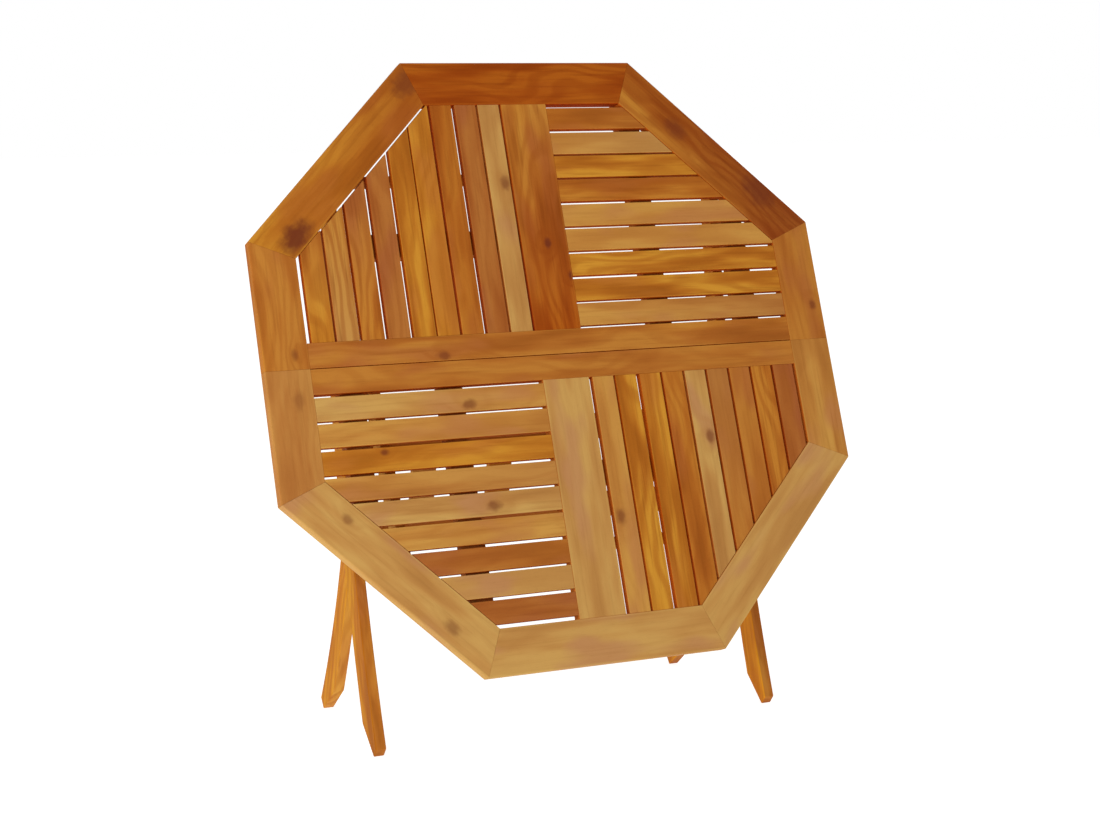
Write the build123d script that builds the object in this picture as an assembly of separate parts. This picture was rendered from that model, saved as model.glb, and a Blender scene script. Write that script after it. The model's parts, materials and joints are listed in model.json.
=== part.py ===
from build123d import *
import os
from math import acos, atan2, cos, degrees, hypot, radians, sin, tan

os.makedirs("parts", exist_ok=True)

# Table top. u runs to the right, v towards the rear, heights count down from the upper face.
across_flats = 1200.0
top_thickness = 23.0
rim_width = 88.0
rim_round = 3.0
rail_width = 49.0
seam_chamfer = 1.5
stile_width = 98.0
slat_count = 9
slat_gap = 5.8
slat_thickness = 16.0

# Uneven gaps between the slats as laid, outwards from the stile or the cross rail, in shares
spacing_rear_left = (4.5, 4.5, 7.4, 4.0, 3.2, 7.0, 7.2, 5.0, 4.5, 9.7)
spacing_rear_right = (5.2, 4.9, 6.8, 6.0, 5.4, 6.8, 4.4, 4.0, 7.5, 7.0)
spacing_front_left = (5.2, 4.8, 6.8, 5.6, 4.8, 5.6, 6.2, 4.4, 6.6, 8.0)
spacing_front_right = (7.8, 4.6, 7.9, 4.8, 5.2, 5.4, 5.4, 5.0, 5.6, 6.3)

# Battens under the slats, rebated where they lap the rim, rails and stiles
batten_width = 48.0
batten_thickness = 18.0
batten_share = 0.4
batten_rim_lap = 46.0
batten_end_gap = 6.0
batten_leg_gap = 8.0
batten_rebate_gap = 0.5

# Hinges of the legs and struts under the top
hinge_reach = 370.0
hinge_depth = 43.0
rod_diameter = 24.0
cleat_thickness = 21.0
cleat_gap = 1.5
cleat_width = 56.0
cleat_height = 43.0
cleat_round = 6.0

# Bowed legs and knee struts, as they stand part-folded
leg_face_offset = 9.2
leg_thickness = 21.0
leg_gap = 3.4
leg_top_width = 38.0
leg_foot_width = 58.0
outer_leg_angle = 16.26
outer_bow_radius = 3720.0
outer_pivot_distance = 532.0
outer_leg_length = 1090.0
cross_angle = 20.86
inner_bow_radius = 1628.0
knee_distance = 145.4
inner_leg_length = 720.0
open_height = 704.0
outer_nose_height = 22.0
inner_nose_height = 24.0
pivot_bolt_diameter = 10.0
bolt_head_diameter = 22.0
bolt_head_height = 5.0
knee_bolt_stub = 1.5

# Panel that ties the inner legs
panel_rail_width = 48.0
panel_rail_thickness = 20.0
panel_housing = 8.0
upper_rail_distance = -27.0
lower_rail_distance = 147.0
panel_slat_count = 4
panel_slat_width = 49.0
panel_slat_thickness = 14.0
panel_slat_pitch = 161.0

# Fits, on the radius
turning_clearance = 0.08
fixed_clearance = 0.02
rod_notch_clearance = 1.5
end_clearance = 1.0

# Octagon
apothem = across_flats / 2
inner_apothem = apothem - rim_width
half_side = apothem * tan(radians(22.5))
inner_half_side = inner_apothem * tan(radians(22.5))
diagonal_sum = inner_apothem + inner_half_side
diagonal_middle = (diagonal_sum + apothem + half_side) / 2
quadrant_width = inner_apothem - stile_width / 2
quadrant_depth = inner_apothem - rail_width
underside = -top_thickness
slat_underside = -slat_thickness
rod_radius = rod_diameter / 2

# Planes of the legs and struts, measured from the middle; their cleats sit under the diagonal rim
outer_leg_face = diagonal_middle - hinge_reach + leg_face_offset
outer_leg_inside = outer_leg_face - leg_thickness
inner_leg_face = outer_leg_inside - leg_gap
inner_leg_inside = inner_leg_face - leg_thickness
strut_face = inner_leg_inside - leg_gap
strut_inside = strut_face - leg_thickness

pieces = {}


def prism(points, thickness, top=0.0):
    """Board with an outline in u, v and its upper face at a given height."""
    face = make_face(Polyline(*points, close=True))
    return Pos(0, 0, top - thickness) * extrude(face, thickness)


def box(u0, u1, v0, v1, z0, z1):
    return Pos((u0 + u1) / 2, (v0 + v1) / 2, (z0 + z1) / 2) * Box(u1 - u0, v1 - v0, z1 - z0)


def rod(u0, u1, point, radius):
    """Round bar along u through a point v, z."""
    bar = Cylinder(radius, u1 - u0, rotation=(0, 90, 0))
    return Pos((u0 + u1) / 2, point[0], point[1]) * bar


def add(first, second):
    return (first[0] + second[0], first[1] + second[1])


def turn(point, centre, angle):
    c = cos(radians(angle))
    s = sin(radians(angle))
    dv = point[0] - centre[0]
    dz = point[1] - centre[1]
    return (centre[0] + c * dv - s * dz, centre[1] + s * dv + c * dz)


def bearing(start, end):
    return degrees(atan2(end[1] - start[1], end[0] - start[0]))


def span(start, end):
    return hypot(end[0] - start[0], end[1] - start[1])


def along(start, heading, radius, distance):
    """Point and heading after a distance along a bow; a positive radius bends to the left."""
    h0 = radians(heading)
    h1 = h0 + distance / radius
    point = (start[0] + radius * (sin(h1) - sin(h0)), start[1] - radius * (cos(h1) - cos(h0)))
    return point, degrees(h1)


# Rim of ten mitred boards; the two side boards are halved at the seam
def rim_board(angle, low, high):
    """Rim board of one side, from one end to the other along that side."""
    def ends(distance, half):
        return [(distance, low if low is not None else -half), (distance, high if high is not None else half)]
    outer = ends(apothem, half_side)
    inner = ends(inner_apothem, inner_half_side)
    board = prism([outer[0], outer[1], inner[1], inner[0]], top_thickness)
    board = fillet(board.edges().filter_by(Axis.Y).group_by(Axis.Z)[-1].sort_by(Axis.X)[-1], rim_round)
    if low is not None or high is not None:
        seam = board.edges().filter_by(Axis.X).group_by(Axis.Z)[-1]
        board = chamfer(seam.sort_by(lambda e: abs(e.center().Y))[0], seam_chamfer)
    return Rot(0, 0, angle) * board


pieces["rim_rear"] = rim_board(90, None, None)
pieces["rim_front"] = rim_board(270, None, None)
pieces["rim_diagonal_rear_right"] = rim_board(45, None, None)
pieces["rim_diagonal_rear_left"] = rim_board(135, None, None)
pieces["rim_diagonal_front_left"] = rim_board(225, None, None)
pieces["rim_diagonal_front_right"] = rim_board(315, None, None)
pieces["rim_right_rear"] = rim_board(0, 0.0, None)
pieces["rim_right_front"] = rim_board(0, None, 0.0)
pieces["rim_left_rear"] = rim_board(180, None, 0.0)
pieces["rim_left_front"] = rim_board(180, 0.0, None)


# Cross rails either side of the seam, and the stiles
def cross_rail(side):
    low, high = sorted((0.0, side * rail_width))
    rail = box(-inner_apothem, inner_apothem, low, high, underside, 0.0)
    seam = rail.edges().filter_by(Axis.X).group_by(Axis.Z)[-1]
    return chamfer(seam.sort_by(lambda e: abs(e.center().Y))[0], seam_chamfer)


def stile(side):
    low, high = sorted((side * rail_width, side * inner_apothem))
    return box(-stile_width / 2, stile_width / 2, low, high, underside, 0.0)


pieces["cross_rail_rear"] = cross_rail(1)
pieces["cross_rail_front"] = cross_rail(-1)
pieces["stile_rear"] = stile(1)
pieces["stile_front"] = stile(-1)


# Slats of a quadrant, clipped by the inside of the rim
def slat_field(u_side, v_side, lengthwise, spacing):
    """Nine slats of one quadrant; lengthwise ones run from front to rear."""
    across = quadrant_width if lengthwise else quadrant_depth
    all_gaps = (slat_count + 1) * slat_gap
    width = (across - all_gaps) / slat_count
    u_start = stile_width / 2
    v_start = rail_width
    clip = prism([(u_start, v_start), (inner_apothem, v_start), (inner_apothem, inner_half_side),
                  (inner_half_side, inner_apothem), (u_start, inner_apothem)], slat_thickness)
    slats = []
    for i in range(slat_count):
        offset = all_gaps * sum(spacing[:i + 1]) / sum(spacing) + i * width
        if lengthwise:
            low = u_start + offset
            slat = box(low, low + width, v_start, inner_apothem, slat_underside, 0.0)
        else:
            low = v_start + offset
            slat = box(u_start, inner_apothem, low, low + width, slat_underside, 0.0)
        slats.append((slat & clip).solid())
    field = Compound(children=slats)
    if u_side < 0:
        field = field.mirror(Plane.YZ)
    if v_side < 0:
        field = field.mirror(Plane.XZ)
    return Compound(children=[s for s in field.solids()])


pieces["slats_rear_left"] = slat_field(-1, 1, True, spacing_rear_left)
pieces["slats_rear_right"] = slat_field(1, 1, False, spacing_rear_right)
pieces["slats_front_left"] = slat_field(-1, -1, False, spacing_front_left)
pieces["slats_front_right"] = slat_field(1, -1, True, spacing_front_right)

# Hinge lines, pivot and knee of the leg linkage, in v and z
rear_hinge = (hinge_reach, -hinge_depth)
front_hinge = (-hinge_reach, -hinge_depth)
outer_heading = 180.0 + outer_leg_angle
pivot, outer_pivot_heading = along(rear_hinge, outer_heading, -outer_bow_radius, outer_pivot_distance)
inner_pivot_heading = outer_pivot_heading + cross_angle
knee, inner_heading = along(pivot, inner_pivot_heading, inner_bow_radius, -knee_distance)
strut_length = span(front_hinge, knee)

# Fully open, the strut and the upper end of the inner leg lie in one line
open_reach = strut_length + span(knee, pivot)
hinge_gap = 2 * hinge_reach
outer_reach = span(rear_hinge, pivot)
open_angle = degrees(acos((hinge_gap**2 + outer_reach**2 - open_reach**2) / (2 * hinge_gap * outer_reach)))
pivot_open = turn(add(rear_hinge, (-outer_reach, 0.0)), rear_hinge, open_angle)
outer_turn = bearing(rear_hinge, pivot_open) - bearing(rear_hinge, pivot)
inner_turn = bearing(front_hinge, pivot_open) - bearing(knee, pivot)


def leg_edge(leg, distance, side):
    """Point on a leg's edge; side 1 is the deeper edge and -1 the edge towards the top."""
    start, heading, radius, length, angle = leg
    point, direction = along(start, heading, radius, distance)
    half = (leg_top_width + (leg_foot_width - leg_top_width) * distance / length) / 2
    normal = radians(direction + 90 * side)
    return (point[0] + half * cos(normal), point[1] + half * sin(normal))


def opened(leg, point):
    """Where a point of a leg comes to when the table is fully open."""
    moved = turn(point, pivot, leg[4])
    return add(moved, (pivot_open[0] - pivot[0], pivot_open[1] - pivot[1]))


def closed(leg, point):
    back = add(point, (pivot[0] - pivot_open[0], pivot[1] - pivot_open[1]))
    return turn(back, pivot, -leg[4])


def reach_level(leg, side, level):
    """Distance along a leg at which its edge meets a level of the opened table."""
    low = 0.4 * leg[3]
    high = 1.3 * leg[3]
    for _ in range(50):
        middle = (low + high) / 2
        if opened(leg, leg_edge(leg, middle, side))[1] > level:
            low = middle
        else:
            high = middle
    return low


def foot(leg, nose_side):
    """Ends of both edges and the tip of a sole that lies flat on the floor of the opened table."""
    nose_height = inner_nose_height if nose_side > 0 else outer_nose_height
    nose_end = reach_level(leg, nose_side, nose_height - open_height)
    heel_end = reach_level(leg, -nose_side, -open_height)
    nose_top = leg_edge(leg, nose_end, nose_side)
    tip = closed(leg, (opened(leg, nose_top)[0], -open_height))
    return nose_end, heel_end, tip


def leg_profile(leg, nose_side):
    nose_end, heel_end, tip = foot(leg, nose_side)
    start, heading = leg[0], leg[1]
    nose_edge = [leg_edge(leg, f * nose_end, nose_side) for f in (0.0, 0.5, 1.0)]
    heel_edge = [leg_edge(leg, f * heel_end, -nose_side) for f in (1.0, 0.5, 0.0)]
    back = radians(heading + 180)
    crown = add(start, (leg_top_width / 2 * cos(back), leg_top_width / 2 * sin(back)))
    edges = [ThreePointArc(*nose_edge), Line(nose_edge[2], tip), Line(tip, heel_edge[0]),
             ThreePointArc(*heel_edge), ThreePointArc(heel_edge[2], crown, nose_edge[0])]
    return Plane.YZ * make_face(edges)


outer_leg = (rear_hinge, outer_heading, -outer_bow_radius, outer_leg_length, outer_turn)
inner_leg = (knee, inner_heading, inner_bow_radius, inner_leg_length, inner_turn)
front_tip = foot(outer_leg, -1)[2]
rear_tip = foot(inner_leg, 1)[2]

# Standing part-folded, the front and rear tips share the floor
rest_tilt = -bearing(front_tip, rear_tip)

# Panel rails let into the rear edges of the inner legs
rail_points = [leg_edge(inner_leg, knee_distance + d, 1) for d in (upper_rail_distance, lower_rail_distance)]
panel_slope = bearing(rail_points[0], rail_points[1])
panel_run = span(rail_points[0], rail_points[1])


def on_panel(shape):
    """Places a shape drawn with v along the panel and z towards the top."""
    return Pos(0, rail_points[0][0], rail_points[0][1]) * Rot(panel_slope - 180, 0, 0) * shape


def panel_rail(run):
    middle = -run
    rail = box(-inner_leg_face, inner_leg_face, middle - panel_rail_width / 2, middle + panel_rail_width / 2,
               panel_housing - panel_rail_thickness, panel_housing)
    return on_panel(rail)


def panel_slat(index):
    middle = (index - (panel_slat_count - 1) / 2) * panel_slat_pitch
    depth = panel_housing - panel_rail_thickness / 2
    slat = box(middle - panel_slat_width / 2, middle + panel_slat_width / 2,
               panel_rail_width / 2 - panel_run, -panel_rail_width / 2,
               depth - panel_slat_thickness / 2, depth + panel_slat_thickness / 2)
    return on_panel(slat)


pieces["panel_rail_upper"] = panel_rail(0.0)
pieces["panel_rail_lower"] = panel_rail(panel_run)
for i in range(panel_slat_count):
    pieces[f"panel_slat_{i + 1}"] = panel_slat(i)

# Legs
outer_blank = extrude(leg_profile(outer_leg, -1), leg_thickness)
inner_blank = extrude(leg_profile(inner_leg, 1), leg_thickness)
rod_hole = rod_radius + fixed_clearance
bolt_radius = pivot_bolt_diameter / 2
bolt_hole = bolt_radius + turning_clearance
outer_blank -= rod(-end_clearance, leg_thickness + end_clearance, rear_hinge, rod_hole)
outer_blank -= rod(-end_clearance, leg_thickness + end_clearance, pivot, bolt_hole)
inner_blank -= rod(-end_clearance, leg_thickness + end_clearance, pivot, bolt_hole)
inner_blank -= rod(-end_clearance, leg_thickness + end_clearance, knee, bolt_hole)
for name, side in (("left", -1), ("right", 1)):
    outer_start = outer_leg_inside if side > 0 else -outer_leg_face
    inner_start = inner_leg_inside if side > 0 else -inner_leg_face
    pieces[f"outer_leg_{name}"] = Pos(outer_start, 0, 0) * outer_blank
    inner = Pos(inner_start, 0, 0) * inner_blank
    inner -= pieces["panel_rail_upper"]
    inner -= pieces["panel_rail_lower"]
    pieces[f"inner_leg_{name}"] = inner

# Knee struts
strut_slope = bearing(front_hinge, knee)


def strut_blank():
    middle = ((front_hinge[0] + knee[0]) / 2, (front_hinge[1] + knee[1]) / 2)
    outline = Rot(0, 0, strut_slope) * SlotCenterToCenter(strut_length, leg_top_width)
    blank = extrude(Plane.YZ * Pos(middle[0], middle[1]) * outline, leg_thickness)
    blank -= rod(-end_clearance, leg_thickness + end_clearance, front_hinge, rod_hole)
    return blank - rod(-end_clearance, leg_thickness + end_clearance, knee, bolt_radius + fixed_clearance)


strut = strut_blank()
pieces["knee_strut_left"] = Pos(-strut_face, 0, 0) * strut
pieces["knee_strut_right"] = Pos(strut_inside, 0, 0) * strut

# Cleats and the hinge rods that turn in them
rear_cleat_start = outer_leg_face + cleat_gap
front_cleat_start = strut_face + cleat_gap


def cleat(start, point):
    block = box(start, start + cleat_thickness, point[0] - cleat_width / 2, point[0] + cleat_width / 2,
                underside - cleat_height, underside)
    block = fillet(block.edges().filter_by(Axis.X).group_by(Axis.Z)[0], cleat_round)
    return block - rod(start - end_clearance, start + cleat_thickness + end_clearance, point,
                       rod_radius + turning_clearance)


for name, start, point in (("rear", rear_cleat_start, rear_hinge), ("front", front_cleat_start, front_hinge)):
    block = cleat(start, point)
    pieces[f"hinge_cleat_{name}_right"] = block
    pieces[f"hinge_cleat_{name}_left"] = block.mirror(Plane.YZ)

rear_rod_end = rear_cleat_start + cleat_thickness - end_clearance
front_rod_end = front_cleat_start + cleat_thickness - end_clearance
pieces["hinge_rod_rear"] = rod(-rear_rod_end, rear_rod_end, rear_hinge, rod_radius)
pieces["hinge_rod_front"] = rod(-front_rod_end, front_rod_end, front_hinge, rod_radius)


# Bolts with flat round heads
def headed_bolt(point, shank_start, shank_end, heads):
    bolt = rod(shank_start, shank_end, point, bolt_radius)
    for at in heads:
        bolt += rod(at, at + bolt_head_height, point, bolt_head_diameter / 2)
    return bolt.solid()


head_gap = end_clearance / 2
pivot_heads = (inner_leg_inside - head_gap - bolt_head_height, outer_leg_face + head_gap)
knee_heads = (strut_inside - bolt_head_height,)
pivot_bolt = headed_bolt(pivot, pivot_heads[0], pivot_heads[1], pivot_heads)
knee_bolt = headed_bolt(knee, strut_inside, strut_face + knee_bolt_stub, knee_heads)
pieces["pivot_bolts"] = Compound(children=[pivot_bolt, pivot_bolt.mirror(Plane.YZ)])
pieces["knee_bolts"] = Compound(children=[knee_bolt, knee_bolt.mirror(Plane.YZ)])


# Battens, notched over the hinge rods; between the boards that they lap, they rise to the slats
def batten_lengthwise(offset, reach):
    low = offset - batten_width / 2
    high = offset + batten_width / 2
    rise_end = min(reach, diagonal_sum - high - batten_rebate_gap)
    board = box(low, high, batten_end_gap, reach, underside - batten_thickness, underside)
    board += box(low, high, rail_width + batten_rebate_gap, rise_end, underside, slat_underside)
    notch = rod(offset - batten_width, offset + batten_width, rear_hinge, rod_radius + rod_notch_clearance)
    return board - notch


def batten_crosswise(reach):
    low = rail_width + batten_share * quadrant_depth - batten_width / 2
    high = low + batten_width
    rise_start = stile_width / 2 + batten_rebate_gap
    board = box(batten_end_gap, reach, low, high, underside - batten_thickness, underside)
    return board + box(rise_start, reach, low, high, underside, slat_underside)


inner_offset = stile_width / 2 + batten_share * quadrant_width
outer_offset = inner_leg_face + batten_leg_gap + batten_width / 2
outer_batten_end = diagonal_sum - outer_offset - batten_width / 2 - batten_end_gap
inner_batten = batten_lengthwise(inner_offset, diagonal_sum - inner_offset + batten_rim_lap)
outer_batten = batten_lengthwise(outer_offset, outer_batten_end)
pieces["batten_rear_right_inner"] = inner_batten
pieces["batten_rear_right_outer"] = outer_batten
pieces["batten_front_left_inner"] = Rot(0, 0, 180) * inner_batten
pieces["batten_front_left_outer"] = Rot(0, 0, 180) * outer_batten
pieces["batten_rear_left"] = batten_crosswise(outer_leg_inside - batten_leg_gap).mirror(Plane.YZ)
pieces["batten_front_right"] = batten_crosswise(strut_inside - batten_leg_gap).mirror(Plane.XZ)

# Stand the table on its feet with the middle of its outline over the origin
lean = Rot(rest_tilt, 0, 0)
leaning = {name: lean * shape for name, shape in pieces.items()}
outline = Compound(children=[s for shape in leaning.values() for s in shape.solids()]).bounding_box()
stand = Pos(-outline.center().X, -outline.center().Y, -outline.min.Z)
for name, shape in leaning.items():
    export_step(stand * shape, f"parts/{name}.step")
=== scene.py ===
# %% [markdown]
# A folding garden table of oiled hardwood stands part-folded: its eight-sided top leans back and
# two pairs of bowed legs cross behind it. The measured solids come in first. They give every board
# its place, so the lesson only has to make each one look like sawn, eased and oiled wood.

# %% Load the measured solids
import json
import math

import bmesh
import bpy
from mathutils import Matrix, Vector


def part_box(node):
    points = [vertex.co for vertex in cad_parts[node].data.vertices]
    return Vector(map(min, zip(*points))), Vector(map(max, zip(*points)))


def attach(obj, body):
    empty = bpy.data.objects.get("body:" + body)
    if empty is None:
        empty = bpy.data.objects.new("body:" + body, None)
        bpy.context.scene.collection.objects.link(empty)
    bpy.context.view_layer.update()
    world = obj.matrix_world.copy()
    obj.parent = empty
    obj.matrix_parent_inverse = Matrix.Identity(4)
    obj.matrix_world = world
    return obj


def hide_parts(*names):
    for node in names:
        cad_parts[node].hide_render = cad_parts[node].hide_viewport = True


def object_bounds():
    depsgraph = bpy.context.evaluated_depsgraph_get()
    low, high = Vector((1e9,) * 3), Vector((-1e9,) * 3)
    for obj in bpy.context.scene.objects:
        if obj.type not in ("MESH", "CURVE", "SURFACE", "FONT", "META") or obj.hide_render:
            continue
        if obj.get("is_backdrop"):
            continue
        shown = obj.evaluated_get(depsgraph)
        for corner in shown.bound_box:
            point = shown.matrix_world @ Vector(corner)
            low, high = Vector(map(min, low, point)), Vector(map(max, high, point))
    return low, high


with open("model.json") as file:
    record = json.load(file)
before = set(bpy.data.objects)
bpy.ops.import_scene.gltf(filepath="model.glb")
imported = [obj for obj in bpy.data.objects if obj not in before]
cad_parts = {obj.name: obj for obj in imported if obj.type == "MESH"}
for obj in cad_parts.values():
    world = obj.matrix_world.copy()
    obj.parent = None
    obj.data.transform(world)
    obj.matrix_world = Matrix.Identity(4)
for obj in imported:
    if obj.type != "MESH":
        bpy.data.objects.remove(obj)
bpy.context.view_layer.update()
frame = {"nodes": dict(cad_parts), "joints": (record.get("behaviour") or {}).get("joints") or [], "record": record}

# %% [markdown]
# The top is easiest to build lying flat, with u to the right, v towards the rear and the upper face
# at height nought, and then to lean as a whole. Both hinge lines run under it at one depth and at
# equal distances from the seam, so the two joints that carry them give the lean and the middle
# without any fitting.

# %% The lean of the top
hinge = {joint["name"]: Vector(joint["pos_m"]) for joint in frame["joints"]}
rear_hinge = hinge["top_tilt"]
front_hinge = hinge["strut_swing"]
leg_pivot = hinge["leg_spread"]
hinge_depth = 0.043
slope = rear_hinge - front_hinge
lean = math.atan2(slope.z, slope.y)
middle = Matrix.Translation((rear_hinge + front_hinge) / 2)
leaning = middle @ Matrix.Rotation(lean, 4, "X") @ Matrix.Translation((0, 0, hinge_depth))
print("lean of the top:", round(math.degrees(lean), 2), "degrees")

# %% [markdown]
# Every joiner's board starts as a squared plank. A cube scaled to its length, width and thickness
# is that plank, and a plane that cuts it is the saw. A filled cut keeps the board closed, which a
# shader and a bevel both need.

# %% Plank and saw
def plank(low, high):
    """Squared plank between two corners."""
    board = bmesh.new()
    size = Vector(high) - Vector(low)
    place = Matrix.Translation((Vector(low) + Vector(high)) / 2) @ Matrix.Diagonal((*size, 1))
    bmesh.ops.create_cube(board, size=1, matrix=place)
    return board


def saw(board, point, normal):
    """Saws through a board; the part on the normal's side falls away."""
    everything = board.verts[:] + board.edges[:] + board.faces[:]
    cut = bmesh.ops.bisect_plane(board, geom=everything, plane_co=point, plane_no=normal,
                                 clear_outer=True)
    kerf = [part for part in cut["geom_cut"] if isinstance(part, bmesh.types.BMEdge)]
    if kerf:
        bmesh.ops.edgeloop_fill(board, edges=kerf)


# %% [markdown]
# A planed board has no razor edges: the maker takes the arris off with sandpaper. A narrow bevel of
# two segments catches the light as that rounding does. Only edges that really turn a corner are
# eased, so the facets of a bow stay smooth.

# %% Ease the arrises
corner_angle = math.radians(40)
speck = 1e-6


def ease(board, radius, segments=2, only=None):
    """Rounds the corners of a board; only picks the edges by their middle."""
    edges = []
    for edge in board.edges:
        halfway = (edge.verts[0].co + edge.verts[1].co) / 2
        if edge.calc_face_angle(0) > corner_angle and (only is None or only(halfway)):
            edges.append(edge)
    bmesh.ops.bevel(board, geom=edges, offset=radius, offset_type="OFFSET", affect="EDGES",
                    segments=segments, profile=0.5, material=-1, clamp_overlap=True)
    bmesh.ops.dissolve_degenerate(board, dist=speck, edges=board.edges)
    return len(edges)


# %% [markdown]
# Grain runs along a board whichever way the board lies, so it can't come from the room's axes. Each
# vertex keeps its distance along, across and into its own board, and the material reads that. The
# same marks carry the board's tone, the strength of its figure, its distance from its knots and its
# share of the width, for wear and a painted highlight on the edges and for painted shade on the
# sides that face a gap. A count shifts the grain from board to board, so no two are cut from the
# same place in the tree.

# %% Mark the grain, tone and knot of a board
wood_tones = {
    "pale": (189, 140, 75),
    "honey": (189, 131, 60),
    "tan": (177, 117, 56),
    "amber": (189, 121, 37),
    # gold, saffron, bronze and caramel are leg tones with painted light and shade in them.
    "gold": (194, 123, 20),
    "saffron": (206, 131, 27),
    "bronze": (185, 116, 18),
    "caramel": (198, 130, 50),
    "chestnut": (176, 108, 41),
    "copper": (178, 106, 35),
    "russet": (165, 96, 41),
    "cocoa": (166, 91, 27),
    "umber": (161, 77, 15),
    "walnut": (143, 69, 22),
}
knot_marks = ("first_knot", "second_knot")
no_knot = (9, 9, 0)
knot_stretch = 1.5
grain_steps = (1.37, 0.83, 0.59)
grain_spans = (7, 3, 2)
boards_marked = 0


def linear(tone):
    """Light of a tone that is given as a screen shows it."""
    return [((c / 255 + 0.055) / 1.055) ** 2.4 for c in wood_tones[tone]]


def mark(board, along, across, tone, figure, *knots, sap=0.0):
    """Writes grain, tone, share of the width, sapwood and up to two knots of a board.

    A pair of tones fades along the board. Sapwood widens along it, at the far edge where sap is
    positive and at the near edge where it is negative. A knot is its place, size and strength.
    """
    global boards_marked
    boards_marked += 1
    shift = Vector([boards_marked * step % span for step, span in zip(grain_steps, grain_spans)])
    along = Vector(along).normalized()
    across = Vector(across).normalized()
    depth = along.cross(across)
    grain = board.verts.layers.float_vector.new("grain")
    spots = [board.verts.layers.float_vector.new(name) for name in knot_marks]
    share = board.verts.layers.float_vector.new("share")
    colour = board.verts.layers.float_color.new("tone")
    spread = [v.co.dot(across) for v in board.verts]
    centre = (min(spread) + max(spread)) / 2
    half = (max(spread) - min(spread)) / 2
    reach = [v.co.dot(along) for v in board.verts]
    begin, length = min(reach), max(reach) - min(reach)
    pair = tone if isinstance(tone, tuple) else (tone, tone)
    first, last = (Vector(linear(name)) for name in pair)
    for v in board.verts:
        place = Vector((v.co.dot(along), v.co.dot(across), v.co.dot(depth)))
        v[grain] = place + shift
        passed = (place.x - begin) / length
        v[share] = ((place.y - centre) / half, sap * passed, 0)
        v[colour] = (*first.lerp(last, passed), figure)
        for spot in spots:
            v[spot] = no_knot
        for spot, (knot_u, knot_v, size, strength) in zip(spots, knots):
            away = v.co - Vector((knot_u, knot_v, v.co.z))
            v[spot] = (away.dot(along) / (knot_stretch * size), away.dot(across) / size, strength)


print("wood tones:", ", ".join(wood_tones))

# %% [markdown]
# Node trees are easier to read as sums than as wires. This small class stands for one output
# socket: arithmetic on it adds Math nodes, and one method adds any other node, its settings first
# and then its inputs.

# %% Shader arithmetic
class Wire:
    """An output socket that can be used in an expression."""

    def __init__(self, tree, socket=None):
        self.tree = tree
        self.socket = socket

    def node(self, kind, settings=None, inputs=None, output=0):
        made = self.tree.nodes.new(kind)
        for name, value in (settings or {}).items():
            setattr(made, name, value)
        for name, value in (inputs or {}).items():
            if isinstance(value, Wire):
                self.tree.links.new(value.socket, made.inputs[name])
            else:
                made.inputs[name].default_value = value
        return Wire(self.tree, made.outputs[output])

    def maths(self, operation, first, second=0.0):
        return self.node("ShaderNodeMath", {"operation": operation}, {0: first, 1: second})

    def __add__(self, other):
        return self.maths("ADD", self, other)

    def __radd__(self, other):
        return self.maths("ADD", other, self)

    def __sub__(self, other):
        return self.maths("SUBTRACT", self, other)

    def __rsub__(self, other):
        return self.maths("SUBTRACT", other, self)

    def __mul__(self, other):
        return self.maths("MULTIPLY", self, other)

    def __rmul__(self, other):
        return self.maths("MULTIPLY", other, self)

    def between(self, low, high):
        """Nought below low, one above high, and smooth between them."""
        settings = {"interpolation_type": "SMOOTHSTEP"}
        inputs = {"Value": self, "From Min": low, "From Max": high}
        return self.node("ShaderNodeMapRange", settings, inputs)

    def tint(self, share, other, how="MIX"):
        """Mixes a colour with another one by a share."""
        settings = {"data_type": "RGBA", "blend_type": how}
        return self.node("ShaderNodeMix", settings, {0: share, 6: self, 7: other}, 2)

    def marked(self, attribute, output):
        """What mark wrote on the board."""
        return self.node("ShaderNodeAttribute", {"attribute_name": attribute}, {}, output)

    def axis(self, letter):
        return self.node("ShaderNodeSeparateXYZ", {}, {0: self}, letter)

    def stretched(self, scale):
        return self.node("ShaderNodeVectorMath", {"operation": "MULTIPLY"}, {0: self, 1: scale})

    def cloud(self, detail, roughness=0.5):
        """Noise at this place, from nought to one."""
        inputs = {"Vector": self, "Scale": 1.0, "Detail": detail, "Roughness": roughness}
        return self.node("ShaderNodeTexNoise", {}, inputs)


# %% [markdown]
# Oiled acacia has four scales of pattern. Broad patches of heartwood and sapwood drift along a
# board; growth rings draw wavy bands that swing round a knot; streaks a few millimetres wide follow
# the grain; and open pores are short dark dashes. Noise that is stretched along the grain gives
# each of them, and the rings come from a sine of the distance across the board, bent by noise. A
# board from the outside of the tree keeps a golden edge of sapwood. Oil leaves a soft sheen, less
# on the pores. Rubbed edges are paler, partly from wear and partly as a painted highlight along the
# arrises. The narrow sides that face a gap get painted shade, dull and red: both sides of slats,
# rails and stiles, and the inner side of the rim.

# %% Oiled wood
relief_depth = 0.0006
sheen = 0.03
heart_of_knot = (0.135, 0.024, 0.010, 1)
sapwood_tone = (0.47, 0.17, 0.022, 1)
patch_tones = {
    "golden": (1.18, 1.44, 1.55, 1),
    "ruddy": (0.74, 0.58, 0.52, 1),
    "deep": (0.52, 0.38, 0.30, 1),
    "plum": (0.90, 0.80, 1.25, 1),
    # Tint of the painted shade on the narrow sides that face a gap.
    "painted_gap_shade": (1.10, 0.60, 0.25, 1),
}


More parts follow.
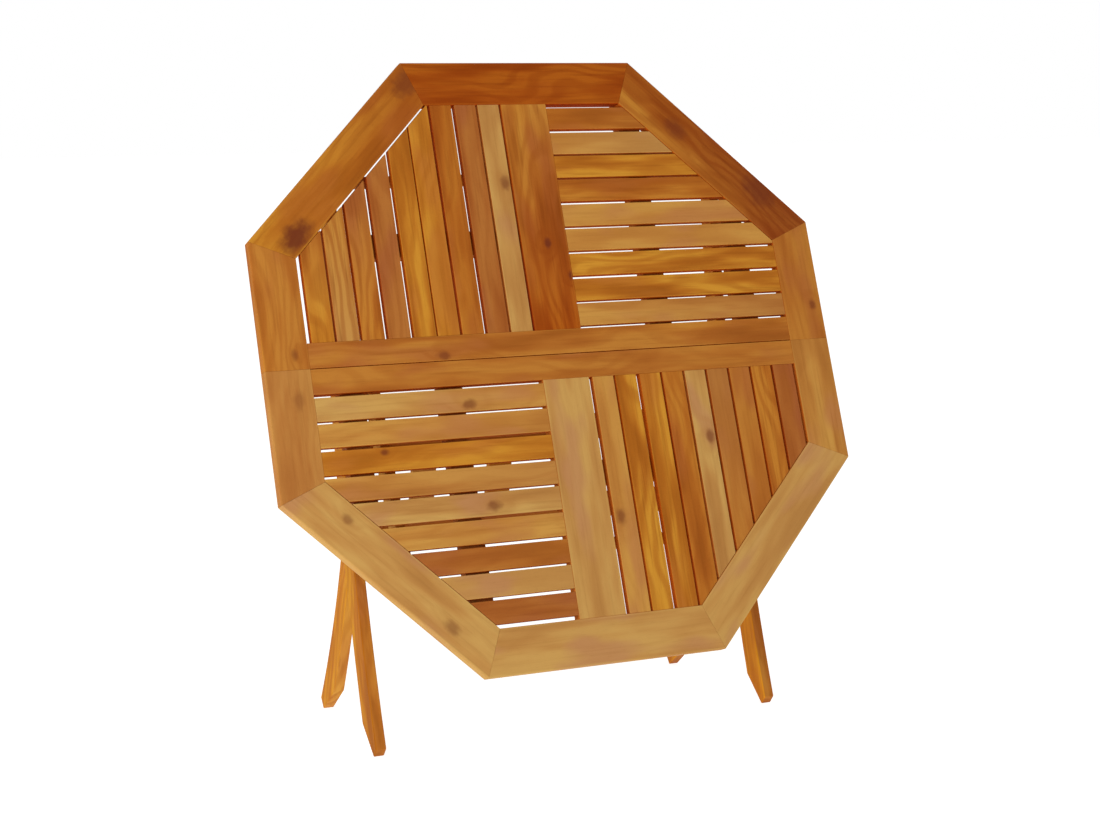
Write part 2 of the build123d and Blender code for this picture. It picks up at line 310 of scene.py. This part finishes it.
def oiled_wood(name, roughness, relief, painted_gap_shade=0.0, inner_only=False):
    """Wood finish; the fourth argument is how much shade is painted on the narrow sides that face a gap, on the
    inner side only for a rim.
    """
    material = bpy.data.materials.new(name)
    material.use_nodes = True
    tree = material.node_tree
    shader = tree.nodes["Principled BSDF"]
    start = Wire(tree)
    grain = start.marked("grain", "Vector")
    tone = start.marked("tone", "Color")
    figure = start.marked("tone", "Alpha")
    share = start.marked("share", "Vector")
    across = grain.axis("Y")
    into = grain.axis("Z")
    side = share.axis("X")
    sap = share.axis("Y")

    patches = grain.stretched((3.6, 20, 20)).cloud(2.5, 0.55)
    blushes = grain.stretched((6.0, 15, 15)).cloud(1.5)
    swing = grain.stretched((3.4, 9, 9)).cloud(1.5)
    streaks = grain.stretched((7, 170, 170)).cloud(3.0, 0.6)
    fibres = grain.stretched((45, 1500, 1500)).cloud(2.0)
    pores = grain.stretched((60, 1300, 1300)).cloud(1.0).between(0.64, 0.74)

    ragged = 0.8 * (grain.stretched((60, 70, 70)).cloud(2.0) - 0.5)
    knot_core = knot_halo = 0.0
    for attribute in knot_marks:
        knot = start.marked(attribute, "Vector")
        strength = knot.axis("Z")
        flat = knot.stretched((1, 1, 0))
        far = ragged + start.node("ShaderNodeVectorMath", {"operation": "LENGTH"}, {0: flat}, "Value")
        knot_core = (1 - far.between(0.30, 1.20)) * strength + knot_core
        knot_halo = (1 - far.between(0.60, 3.20)) * strength + knot_halo

    ring_place = 34 * across + 22 * into + 7 * swing + 1.5 * knot_halo
    rings = 0.5 + 0.5 * start.maths("SINE", math.tau * ring_place)

    sapwood = (sap * (side + 2.0 * (swing - 0.5))).between(0.0, 0.5)
    tone = tone.tint(0.8 * sapwood, sapwood_tone)
    shades = {shade: tone.tint(1.0, times, "MULTIPLY") for shade, times in patch_tones.items()}
    golden = shades["golden"]
    ruddy = shades["ruddy"]
    deep = shades["deep"]
    contrast = 0.3 + 0.6 * figure
    colour = tone.tint(contrast * patches.between(0.47, 0.62), golden)
    colour = colour.tint(contrast * (1 - patches).between(0.47, 0.62), ruddy)
    colour = colour.tint(0.7 * figure * (1 - patches).between(0.58, 0.70), deep)
    colour = colour.tint(0.7 * blushes.between(0.52, 0.68), shades["plum"])
    colour = colour.tint(0.55 * figure * rings.between(0.25, 1.0), ruddy)
    colour = colour.tint((0.10 + 0.35 * figure) * streaks.between(0.48, 0.72), deep)
    colour = colour.tint(0.22 * pores + 0.08 * fibres, deep)
    colour = colour.tint(0.5 * knot_halo, ruddy)
    colour = colour.tint(knot_core, heart_of_knot)
    edge = start.maths("ABSOLUTE", side)
    # flank marks the narrow sides that face a gap, which get painted shade.
    flank = (side if inner_only else edge).between(0.985, 1.0)
    # Paler edges, partly from wear and partly a painted highlight along the arrises.
    wear_and_edge_highlight = edge.between(0.90, 0.96) * (1 - flank) * streaks.between(0.35, 0.60)
    colour = colour.tint(0.35 * wear_and_edge_highlight, golden)
    # Painted shade on the narrow sides that face a gap, dull and red.
    colour = colour.tint(painted_gap_shade * flank, shades["painted_gap_shade"])

    tree.links.new(colour.socket, shader.inputs["Base Color"])
    gloss = roughness + 0.10 * (streaks - 0.5) + 0.12 * pores + 0.06 * wear_and_edge_highlight + 0.4 * painted_gap_shade * flank
    tree.links.new(gloss.socket, shader.inputs["Roughness"])
    height = 0.5 * fibres + 0.5 * streaks - 0.8 * pores
    inputs = {"Strength": relief, "Distance": relief_depth, "Height": height}
    bump = start.node("ShaderNodeBump", {}, inputs)
    tree.links.new(bump.socket, shader.inputs["Normal"])
    shader.inputs["Specular IOR Level"].default_value = sheen
    print(name, "has", len(tree.nodes), "nodes")
    return material


planed_wood = oiled_wood("planed_oiled_acacia", roughness=0.50, relief=0.25)
# Slats, rails, stiles and the rim get painted shade on the narrow sides that face a gap.
slat_wood = oiled_wood("slat_oiled_acacia", roughness=0.50, relief=0.25, painted_gap_shade=0.9)
rim_wood = oiled_wood("rim_oiled_acacia", roughness=0.50, relief=0.25, painted_gap_shade=0.9, inner_only=True)
sawn_wood = oiled_wood("sawn_oiled_acacia", roughness=0.62, relief=0.55)

# %% [markdown]
# Each finished board takes the place of one solid. It rides on the body that carries that solid, so
# it folds with the table. Small hardware that the solids leave out is added in the same way, but
# takes no solid's place.

# %% Put a finished piece in the table
smooth_angle = math.radians(20)
bodies = frame["record"]["behaviour"]["bodies"]
body_of = {node: body for body, nodes in bodies.items() for node in nodes}


def add(board, name, body, material):
    """Makes a piece that rides on a body."""
    bmesh.ops.recalc_face_normals(board, faces=board.faces)
    mesh = bpy.data.meshes.new(name)
    board.to_mesh(mesh)
    board.free()
    mesh.shade_smooth()
    mesh.set_sharp_from_angle(angle=smooth_angle)
    mesh.materials.append(material)
    piece = bpy.data.objects.new(name, mesh)
    bpy.context.scene.collection.objects.link(piece)
    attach(piece, body)
    return piece


def put(board, node, material, place=None):
    """Makes the piece that stands for a solid."""
    if place:
        bmesh.ops.transform(board, matrix=place, verts=board.verts)
    piece = add(board, node + "_finished", body_of[node], material)
    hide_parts(node)


print("bodies:", ", ".join(sorted(bodies)))

# %% [markdown]
# The rim is mitred from boards of equal width. Each one is sawn at both ends on the line from the
# middle of the table through its corner, and its outer upper edge is rounded for the hand. The two
# side boards are halved at the seam, where the front and rear leaves of the top meet.

# %% Rim boards
apothem = 0.600
rim_width = 0.088
board_thickness = 0.023
inner_apothem = apothem - rim_width
mitre = math.radians(22.5)
half_side = apothem * math.tan(mitre)
offcut = 0.010
hand_round = 0.003
arris = 0.0007
hair = 1e-5


def rim_board(node, angle, tone, figure, half, *knots, sap=0.0):
    """Mitred board; half is the end that is kept of a side board, and nought for a whole board."""
    reach = [-half_side - offcut, half_side + offcut]
    if half:
        reach[0 if half > 0 else 1] = 0.0
    board = plank((inner_apothem, reach[0], -board_thickness), (apothem, reach[1], 0))
    for end in (-1, 1):
        if half != -end:
            saw(board, (0, 0, 0), (-math.sin(mitre), end * math.cos(mitre), 0))
    ease(board, hand_round, 4, lambda p: p.x > apothem - hair and p.z > -hair)
    ease(board, arris)
    turn = Matrix.Rotation(math.radians(angle), 4, "Z")
    bmesh.ops.transform(board, matrix=turn, verts=board.verts)
    along = turn @ Vector((0, 1, 0))
    inwards = turn @ Vector((-1, 0, 0))
    mark(board, along, inwards, tone, figure, *knots, sap=sap)
    put(board, node, rim_wood, leaning)


rim_board("rim_rear", 90, "umber", 0.8, 0)
rim_board("rim_front", 270, "pale", 0.15, 0)
rim_board("rim_diagonal_rear_right", 45, ("walnut", "cocoa"), 0.9, 0,
          (0.331, 0.455, 0.022, 0.5), (0.500, 0.318, 0.034, 0.6), sap=0.9)
rim_board("rim_diagonal_rear_left", 135, ("cocoa", "amber"), 0.6, 0,
          (-0.506, 0.254, 0.030, 0.9), (-0.240, 0.560, 0.030, 0.6))
rim_board("rim_diagonal_front_left", 225, "pale", 0.25, 0,
          (-0.306, -0.500, 0.014, 0.5), (-0.480, -0.284, 0.010, 0.5))
rim_board("rim_diagonal_front_right", 315, "pale", 0.15, 0)
rim_board("rim_right_rear", 0, "chestnut", 0.3, 1, (0.578, 0.072, 0.009, 0.6))
rim_board("rim_right_front", 0, "honey", 0.4, -1)
rim_board("rim_left_rear", 180, "chestnut", 0.5, -1, (-0.538, 0.028, 0.008, 0.5), sap=-0.4)
rim_board("rim_left_front", 180, "tan", 0.3, 1, (-0.542, -0.058, 0.014, 0.3))
print("rim boards: 10, each", round(2 * half_side, 3), "m along the outside")

# %% [markdown]
# Two cross rails run along either side of the seam, and a wide stile divides each leaf. They butt
# square against their neighbours, so planks with eased arrises are all they need. The seam edges
# are planed back a little and show as a dark line, deepened by the shade painted on their sides.

# %% Cross rails and stiles
rail_width = 0.049
stile_half = 0.049
seam_planed = 0.0007


def cross_rail(node, side, tone, figure, *knots, sap=0.0):
    low, high = sorted((side * seam_planed, side * rail_width))
    board = plank((-inner_apothem, low, -board_thickness), (inner_apothem, high, 0))
    ease(board, arris)
    mark(board, (1, 0, 0), (0, 1, 0), tone, figure, *knots, sap=sap)
    put(board, node, slat_wood, leaning)


def stile(node, side, tone, figure, *knots, sap=0.0):
    low, high = sorted((side * rail_width, side * inner_apothem))
    board = plank((-stile_half, low, -board_thickness), (stile_half, high, 0))
    ease(board, arris)
    mark(board, (0, 1, 0), (-1, 0, 0), tone, figure, *knots, sap=sap)
    put(board, node, slat_wood, leaning)


cross_rail("cross_rail_rear", 1, "chestnut", 0.5, (-0.246, 0.010, 0.011, 0.6), sap=0.5)
cross_rail("cross_rail_front", -1, "chestnut", 0.4)
stile("stile_rear", 1, ("umber", "chestnut"), 0.8,
      (0.006, 0.223, 0.009, 0.8), (0.047, 0.157, 0.008, 0.9), sap=0.8)
stile("stile_front", -1, "pale", 0.15)
print("rails and stiles: 4")

# %% [markdown]
# Nine slats fill each quarter, and the direction turns by a right angle from one quarter to the
# next. They are thinner than the rim and laid by eye, so the gaps are uneven and some let daylight
# through. A slat is a plank that the diagonal rim cuts short. Every slat of a quarter goes into one
# mesh, because they are one solid group, but each is marked by itself: neighbours come from
# different trees, pale, honey, red or brown.

# %% Slats of the four quarters
slat_gap = 0.0058
slat_count = 9
slat_thickness = 0.016
diagonal_sum = inner_apothem * (1 + math.tan(mitre))
all_gaps = (slat_count + 1) * slat_gap
slat_width = (inner_apothem - stile_half - all_gaps) / slat_count
slat_arris = 0.0012
snug = (0.0008, 0.0008)
loose = (0.0030, 0.0006)


def slats(node, u_side, v_side, lengthwise, end_gaps, spacing, looks):
    """Slats of a quarter, outwards from the stile or cross rail.

    Spacing gives the shares of the gaps, and end_gaps the room at the diagonal rim, for the
    outermost slat last. A look is a tone, the strength of the figure and, on some, a knot.
    """
    quarter = bmesh.new()
    scratch = bpy.data.meshes.new("slat")
    outward = Vector((u_side, v_side, 0)).normalized()
    for i, look in enumerate(looks):
        near = stile_half + all_gaps * sum(spacing[:i + 1]) / sum(spacing) + i * slat_width
        span = ((near, near + slat_width), (rail_width, inner_apothem))
        u, v = span if lengthwise else (span[1], span[0])
        u = sorted(u_side * x for x in u)
        v = sorted(v_side * x for x in v)
        board = plank((u[0], v[0], -slat_thickness), (u[1], v[1], 0))
        end_gap = end_gaps[i == slat_count - 1]
        saw(board, outward * (diagonal_sum / math.sqrt(2) - end_gap), outward)
        ease(board, slat_arris)
        along = (0, 1, 0) if lengthwise else (1, 0, 0)
        across = (-1, 0, 0) if lengthwise else (0, 1, 0)
        mark(board, along, across, *look)
        board.to_mesh(scratch)
        board.free()
        quarter.from_mesh(scratch)
    bpy.data.meshes.remove(scratch)
    put(quarter, node, slat_wood, leaning)


slats("slats_rear_left", -1, 1, True, loose,
      (4.5, 4.5, 6.9, 5.3, 3.0, 6.7, 6.9, 5.0, 4.5, 9.7),
      [("pale", 0.3, (-0.064, 0.349, 0.012, 0.6)), ("russet", 0.4), (("copper", "cocoa"), 0.6),
       ("amber", 0.6), ("amber", 0.8), ("russet", 0.5), (("copper", "russet"), 0.8),
       (("tan", "chestnut"), 1.0), (("amber", "chestnut"), 0.9)])
slats("slats_rear_right", 1, 1, False, snug,
      (5.2, 4.9, 6.4, 5.7, 5.4, 6.4, 4.4, 4.0, 7.2, 8.4),
      [(("honey", "tan"), 0.3), ("amber", 0.9), ("amber", 0.9), ("honey", 0.1), ("honey", 0.2),
       ("copper", 0.7), ("amber", 0.9), (("honey", "pale"), 0.1), (("copper", "chestnut"), 0.5)])
slats("slats_front_left", -1, -1, False, snug,
      (6.2, 4.8, 6.5, 5.6, 4.8, 5.6, 6.2, 4.4, 6.3, 7.6),
      [(("pale", "honey"), 0.3, (-0.208, -0.087, 0.012, 0.6)), ("honey", 0.3),
       ("amber", 0.5, (-0.390, -0.166, 0.007, 0.7)), (("honey", "tan"), 0.3),
       ("pale", 0.3, (-0.187, -0.284, 0.012, 0.6)), ("honey", 0.4), (("russet", "chestnut"), 0.3),
       ("pale", 0.0), ("russet", 0.4)])
slats("slats_front_right", 1, -1, True, snug,
      (7.8, 4.6, 7.9, 4.8, 5.2, 5.4, 5.4, 5.0, 5.6, 6.3),
      [("honey", 0.2, (0.070, -0.326, 0.013, 0.6)), ("amber", 1.0), ("amber", 0.8), ("copper", 0.6),
       ("pale", 0.3, (0.293, -0.185, 0.011, 0.6)), (("chestnut", "tan"), 0.2), ("chestnut", 0.3),
       ("copper", 0.8), ("russet", 0.2)])
print("slats: 36, each", round(slat_width * 1000, 1), "mm wide")

# %% [markdown]
# The legs, struts, battens, cleats and panel already have their true outlines in the solids. A copy
# is welded, its flat faces are joined up again, and its arrises are eased. Holes for rods and bolts
# stay sharp, because a rod fills them. The bevel parts the broad faces of a leg from its narrow
# ones, so each can have a tone of its own, with light and shade painted into it.

# %% Ease a copy of a solid
hole_reach = 0.0155
flat_angle = math.radians(0.3)
narrow_face = 0.1


def near_hole(p):
    """Whether a point is at a hole of the legs or struts."""
    return any(math.hypot(p.y - hole.y, p.z - hole.z) < hole_reach for hole in hinge.values())


def paint_light_on_narrow_faces(board, tone):
    """Gives the narrow faces of a leg a tone of their own, which paints light and shade on them."""
    colour = board.verts.layers.float_color["tone"]
    board.normal_update()
    for face in board.faces:
        if abs(face.normal.x) < narrow_face and not near_hole(face.calc_center_median()):
            for v in face.verts:
                v[colour] = (*linear(tone), v[colour][3])


def eased_copy(node, radius, along, across, tone, figure, material, painted_edge_tone=None):
    """Finishes a copy of a solid and tells how many edges were eased."""
    board = bmesh.new()
    board.from_mesh(frame["nodes"][node].data)
    bmesh.ops.remove_doubles(board, verts=board.verts, dist=hair)
    bmesh.ops.dissolve_limit(board, angle_limit=flat_angle, verts=board.verts, edges=board.edges)
    eased = ease(board, radius, 2, lambda p: not near_hole(p))
    mark(board, along, across, tone, figure)
    if painted_edge_tone:
        paint_light_on_narrow_faces(board, painted_edge_tone)
    put(board, node, material)
    return eased


# %% [markdown]
# A bowed leg is sawn from a straight plank, so its grain runs straight from end to end and doesn't
# bow. A bent grid could follow the curve, but no sawn leg looks like that. The legs are planed, and
# light and shade are painted into their tones: the right legs are brightened where the top shades
# them, and the narrow faces are lighter on the left legs and darker on the right. The knee struts
# are plain straight boards.

# %% Legs and knee struts
leg_arris = 0.002
leg_figure = 0.8
strut_figure = 0.4
right = Vector((1, 0, 0))
# Light and shade are painted into these tones: the right legs are brightened where the top shades them, and the
# narrow faces are lighter on the left and darker on the right.
painted_light_leg_tones = {"left": ("bronze", "gold"), "right": ("saffron", "saffron")}
painted_light_edge_tones = {"left": "caramel", "right": "chestnut"}
for side in ("left", "right"):
    for leg, way, tone in zip(("outer_leg_", "inner_leg_"), (-1, 1), painted_light_leg_tones[side]):
        low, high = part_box(leg + side)
        run = Vector((0, way * (high.y - low.y), low.z - high.z))
        count = eased_copy(leg + side, leg_arris, run, right.cross(run), tone, leg_figure,
                           planed_wood, painted_light_edge_tones[side])
        print(leg + side, "eased edges:", count)
    low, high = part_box("knee_strut_" + side)
    run = Vector((0, high.y - low.y, high.z - low.z))
    eased_copy("knee_strut_" + side, leg_arris, run, right.cross(run), "honey", strut_figure,
               planed_wood)

# %% [markdown]
# Two rails and four slats tie the inner legs together behind the top. They are planed like the
# slats of the top, and their grain turns with their length: across the table in the rails, down the
# legs in the slats.

# %% Panel between the inner legs
panel_figure = 0.4
low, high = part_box("panel_slat_1")
panel_run = Vector((0, high.y - low.y, low.z - high.z))
for rail in ("panel_rail_upper", "panel_rail_lower"):
    eased_copy(rail, slat_arris, right, panel_run, "chestnut", panel_figure, planed_wood)
for i, tone in enumerate(("honey", "amber", "russet", "honey")):
    eased_copy(f"panel_slat_{i + 1}", slat_arris, panel_run, right, tone, panel_figure, planed_wood)
print("panel: 2 rails and 4 slats")

# %% [markdown]
# Nobody looks under a table, so the battens that hold the slats and the cleats that hold the rods
# are left as the saw made them: rougher, with a stronger relief, and only a touch of sandpaper on
# the edges.

# %% Battens and cleats under the top
sawn_arris = 0.001
sawn_figure = 0.3
uphill = leaning.to_3x3() @ Vector((0, 1, 0))
for node in ("batten_rear_right_inner", "batten_rear_right_outer",
             "batten_front_left_inner", "batten_front_left_outer"):
    eased_copy(node, sawn_arris, uphill, right, "russet", sawn_figure, sawn_wood)
for node in ("batten_rear_left", "batten_front_right"):
    eased_copy(node, sawn_arris, right, uphill, "chestnut", sawn_figure, sawn_wood)
for end in ("rear", "front"):
    for side in ("left", "right"):
        cleat = f"hinge_cleat_{end}_{side}"
        eased_copy(cleat, sawn_arris, uphill, right, "chestnut", sawn_figure, sawn_wood)
print("boards marked:", boards_marked)

# %% [markdown]
# The legs and struts turn on two hardwood dowels that run the whole way across under the top. A
# cone with equal ends is a dowel, and its ends are chamfered as a turner leaves them.

# %% Hinge rods
rod_radius = 0.012
rod_chamfer = 0.0015
rod_figure = 0.3
rod_facets = 40


def dowel(mesh, middle, length, radius, facets):
    """Adds a cylinder that lies across the table."""
    place = Matrix.Translation(middle) @ Matrix.Rotation(math.pi / 2, 4, "Y")
    bmesh.ops.create_cone(mesh, cap_ends=True, segments=facets, radius1=radius, radius2=radius,
                          depth=length, matrix=place)


def hinge_rod(node, centre):
    low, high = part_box(node)
    rod = bmesh.new()
    dowel(rod, (0, centre.y, centre.z), high.x - low.x, rod_radius, rod_facets)
    ease(rod, rod_chamfer)
    mark(rod, right, (0, 1, 0), "honey", rod_figure)
    put(rod, node, planed_wood)


hinge_rod("hinge_rod_rear", rear_hinge)
hinge_rod("hinge_rod_front", front_hinge)
print("rods:", rod_radius * 2000, "mm thick")

# %% [markdown]
# Bolts and screws are zinc-plated steel: a pale, slightly blue grey, with a cloudy bloom where the
# plating has dulled. The bloom varies the roughness as well as the colour, which is what makes
# plating look like plating.

# %% Zinc-plated steel
def zinc_plate(name):
    """Plated steel with a cloudy bloom and fine scratches."""
    material = bpy.data.materials.new(name)
    material.use_nodes = True
    tree = material.node_tree
    shader = tree.nodes["Principled BSDF"]
    start = Wire(tree)
    place = start.node("ShaderNodeTexCoord", {}, {}, "Object")
    bloom = place.stretched((260, 260, 260)).cloud(3.0)
    scratches = place.stretched((1800, 300, 300)).cloud(2.0)
    bright = (0.60, 0.61, 0.62, 1)
    dull = (0.42, 0.43, 0.44, 1)
    colours = {0: bloom.between(0.4, 0.7), 6: bright, 7: dull}
    colour = start.node("ShaderNodeMix", {"data_type": "RGBA"}, colours, 2)
    tree.links.new(colour.socket, shader.inputs["Base Color"])
    tree.links.new((0.26 + 0.3 * bloom + 0.1 * scratches).socket, shader.inputs["Roughness"])
    shader.inputs["Metallic"].default_value = 1.0
    return material


zinc = zinc_plate("zinc_plated_steel")
print("plating:", zinc.name)

# %% [markdown]
# A bolt is round about its axis, so half of its outline is drawn once and spun. Its low domed head
# is a few points of that outline. The outline starts and ends on the axis, and the spin welds it
# shut.

# %% Pivot bolts and knee bolts
bolt_radius = 0.005
bolt_facets = 32
head_radius = 0.011
head_height = 0.005
head_chamfer = 0.0004
head_curve = ((0.08, 1.0), (0.34, 1.0), (0.62, 0.92), (0.84, 0.72), (0.96, 0.40), (1.0, 0.0))


def spun(bolt, outline, axis_point):
    """Spins an outline of distance along u and radius about a line along u."""
    start = [bolt.verts.new((u, axis_point.y, axis_point.z + r)) for u, r in outline]
    lines = [bolt.edges.new(pair) for pair in zip(start, start[1:])]
    bmesh.ops.spin(bolt, geom=start + lines, cent=(0, axis_point.y, axis_point.z), axis=(1, 0, 0),
                   angle=math.tau, steps=bolt_facets, use_merge=True, use_duplicate=False)
    bmesh.ops.remove_doubles(bolt, verts=bolt.verts, dist=speck)


def dome(base, way):
    """Head outline from its rim at base to its crown."""
    rise = head_height * way
    crown = [(base + up * rise, out * head_radius) for up, out in head_curve]
    return [(base, head_radius - head_chamfer)] + crown


def bolts(node, centre, both_heads):
    """A bolt on either side of the table, with a head on one end or on both."""
    low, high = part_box(node)
    inside = min(v.co.x for v in frame["nodes"][node].data.vertices if v.co.x > 0)
    pair = bmesh.new()
    for side in (-1, 1):
        far = side * high.x
        near_seat = side * (inside + head_height)
        far_seat = side * (high.x - head_height)
        outline = dome(near_seat, -side)[::-1] + [(near_seat, bolt_radius)]
        if both_heads:
            outline += [(far_seat, bolt_radius)] + dome(far_seat, side)
        else:
            outline += [(far, bolt_radius), (far, 0.0)]
        spun(pair, outline, centre)
    put(pair, node, zinc)


knee = sum((Vector(c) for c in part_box("knee_bolts")), Vector()) / 2
bolts("pivot_bolts", leg_pivot, True)
bolts("knee_bolts", knee, False)
print("bolts: 4, heads", head_radius * 2000, "mm across")

# %% [markdown]
# The knee bolt of the solids ends before the inner leg, because the knee is the one pivot that
# opens while the table folds. A short length of bolt fills the leg's hole, a little below both
# faces, so that the hole isn't empty.

# %% Ends of the knee bolts
sunk = 0.0006
end_chamfer = 0.0008
ends = bmesh.new()
for side in ("left", "right"):
    low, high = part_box("inner_leg_" + side)
    middle_of_leg = ((low.x + high.x) / 2, knee.y, knee.z)
    dowel(ends, middle_of_leg, high.x - low.x - 2 * sunk, bolt_radius, bolt_facets)
ease(ends, end_chamfer)
add(ends, "knee_bolt_ends", body_of["inner_leg_left"], zinc)
print("knee bolt ends: 2")

# %% [markdown]
# Two countersunk screws hold each cleat up against the rim. They are too small for the solids, so
# they are added here: a shallow cone is the head, and insetting and sinking its middle presses a
# recess into it.

# %% Cleat screws
screw_radius = 0.0042
neck_radius = 0.7 * screw_radius
screw_height = 0.0016
screw_facets = 24
facing_down = -0.9
recess_inset = 0.0022
recess_depth = 0.0007
cleat_drop = 0.066
cleat_screw_reach = 0.0205
screws = bmesh.new()
for end, v_hinge in (("rear", slope.length / 2), ("front", -slope.length / 2)):
    for side in ("left", "right"):
        low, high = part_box(f"hinge_cleat_{end}_{side}")
        for step in (-1, 1):
            spot = ((low.x + high.x) / 2, v_hinge + step * cleat_screw_reach, -cleat_drop)
            head = bmesh.ops.create_cone(
                screws, cap_ends=True, segments=screw_facets, radius1=screw_radius,
                radius2=neck_radius, depth=screw_height, matrix=Matrix.Translation(spot))
            faces = {face for v in head["verts"] for face in v.link_faces}
            under = [face for face in faces if face.normal.z < facing_down]
            bmesh.ops.inset_region(screws, faces=under, thickness=recess_inset, depth=0)
            bmesh.ops.translate(screws, vec=(0, 0, recess_depth), verts=under[0].verts)
bmesh.ops.transform(screws, matrix=leaning, verts=screws.verts)
add(screws, "cleat_screws", "top", zinc)
print("cleat screws: 8")

# %% [markdown]
# The table stands on a plain white studio sweep. A floor that is half lit and half glowing keeps
# the ground white and leaves only a breath of shadow at the feet.

# %% Floor
floor_reach = 30
floor_mesh = bpy.data.meshes.new("studio_floor")
sheet = bmesh.new()
bmesh.ops.create_grid(sheet, x_segments=1, y_segments=1, size=floor_reach)
sheet.to_mesh(floor_mesh)
sheet.free()
floor = bpy.data.objects.new("studio_floor", floor_mesh)
bpy.context.scene.collection.objects.link(floor)
floor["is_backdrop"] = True
paper = bpy.data.materials.new("studio_paper")
paper.use_nodes = True
paper_shader = paper.node_tree.nodes["Principled BSDF"]
paper_shader.inputs["Base Color"].default_value = (0.5, 0.5, 0.5, 1)
paper_shader.inputs["Roughness"].default_value = 1.0
paper_shader.inputs["Specular IOR Level"].default_value = 0.0
paper_shader.inputs["Emission Color"].default_value = (1, 1, 1, 1)
paper_shader.inputs["Emission Strength"].default_value = 0.85
floor_mesh.materials.append(paper)
print("floor:", floor.name)

# %% [markdown]
# Soft studio light comes from a white room and three large panels: a key to the left of the camera,
# above it, a weaker fill on the right, and a low one on the left that reaches the legs. Large
# panels give the faces of the boards an even light and the edges a gentle roll. The walls look
# white to the camera but light the wood less, so that it keeps its depth of colour.

# %% Light
world = bpy.data.worlds.new("white_room")
bpy.context.scene.world = world
world.use_nodes = True
room = world.node_tree.nodes["Background"]
room.inputs["Color"].default_value = (1, 1, 1, 1)
wall_light = 0.55
seen = Wire(world.node_tree).node("ShaderNodeLightPath", {}, {}, "Is Camera Ray")
world.node_tree.links.new((wall_light + (1 - wall_light) * seen).socket, room.inputs["Strength"])


def panel(name, place, aim, size, power):
    lamp = bpy.data.lights.new(name, "AREA")
    lamp.shape = "SQUARE"
    lamp.size = size
    lamp.energy = power
    stand = bpy.data.objects.new(name, lamp)
    stand.location = place
    stand.rotation_mode = "QUATERNION"
    stand.rotation_quaternion = (Vector(aim) - Vector(place)).to_track_quat("-Z", "Y")
    bpy.context.scene.collection.objects.link(stand)


panel("key_panel", place=(-3.2, -2.6, 2.8), aim=(0, 0, 0.7), size=2.4, power=52)
panel("fill_panel", place=(2.6, -3.2, 2.2), aim=(0, 0, 0.7), size=2.4, power=15)
panel("low_panel", place=(-3.4, -1.0, 0.5), aim=(0.3, 0, 0.25), size=1.4, power=32)
bpy.context.scene.view_settings.view_transform = "Standard"
print("panels:", len(bpy.data.lights))

# %% [markdown]
# The camera stands to the left of the table at about chest height and looks slightly down with a
# long lens. Its place was solved from the corners of the top and the edges of the legs; the small
# shift is the framing.

# %% Camera
frame_pixels = 1100
focal_pixels = 2277.4
heading = math.radians(-25.177)
dip = math.radians(5.724)
tilt = math.radians(-0.168)
camera_place = Matrix.Translation((-1.8581, -4.0047, 1.2677))
eye = bpy.data.cameras.new("photo_camera")
eye.sensor_width = 36
eye.lens = focal_pixels * eye.sensor_width / frame_pixels
eye.shift_x = -0.0132
eye.shift_y = -0.1021
camera = bpy.data.objects.new("photo_camera", eye)
aim = Matrix.Rotation(heading, 4, "Z") @ Matrix.Rotation(math.pi / 2 - dip, 4, "X")
roll = Matrix.Rotation(tilt, 4, "Z")
camera.matrix_world = camera_place @ aim @ roll
bpy.context.scene.collection.objects.link(camera)
bpy.context.scene.camera = camera
print("lens:", round(eye.lens, 1), "mm")

# %% [markdown]
# Dressing a part must not change its size. The last line prints the size of the finished pieces.

# %% Size of the finished pieces
low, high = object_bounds()
print("finished size:", [round(x, 4) for x in high - low])
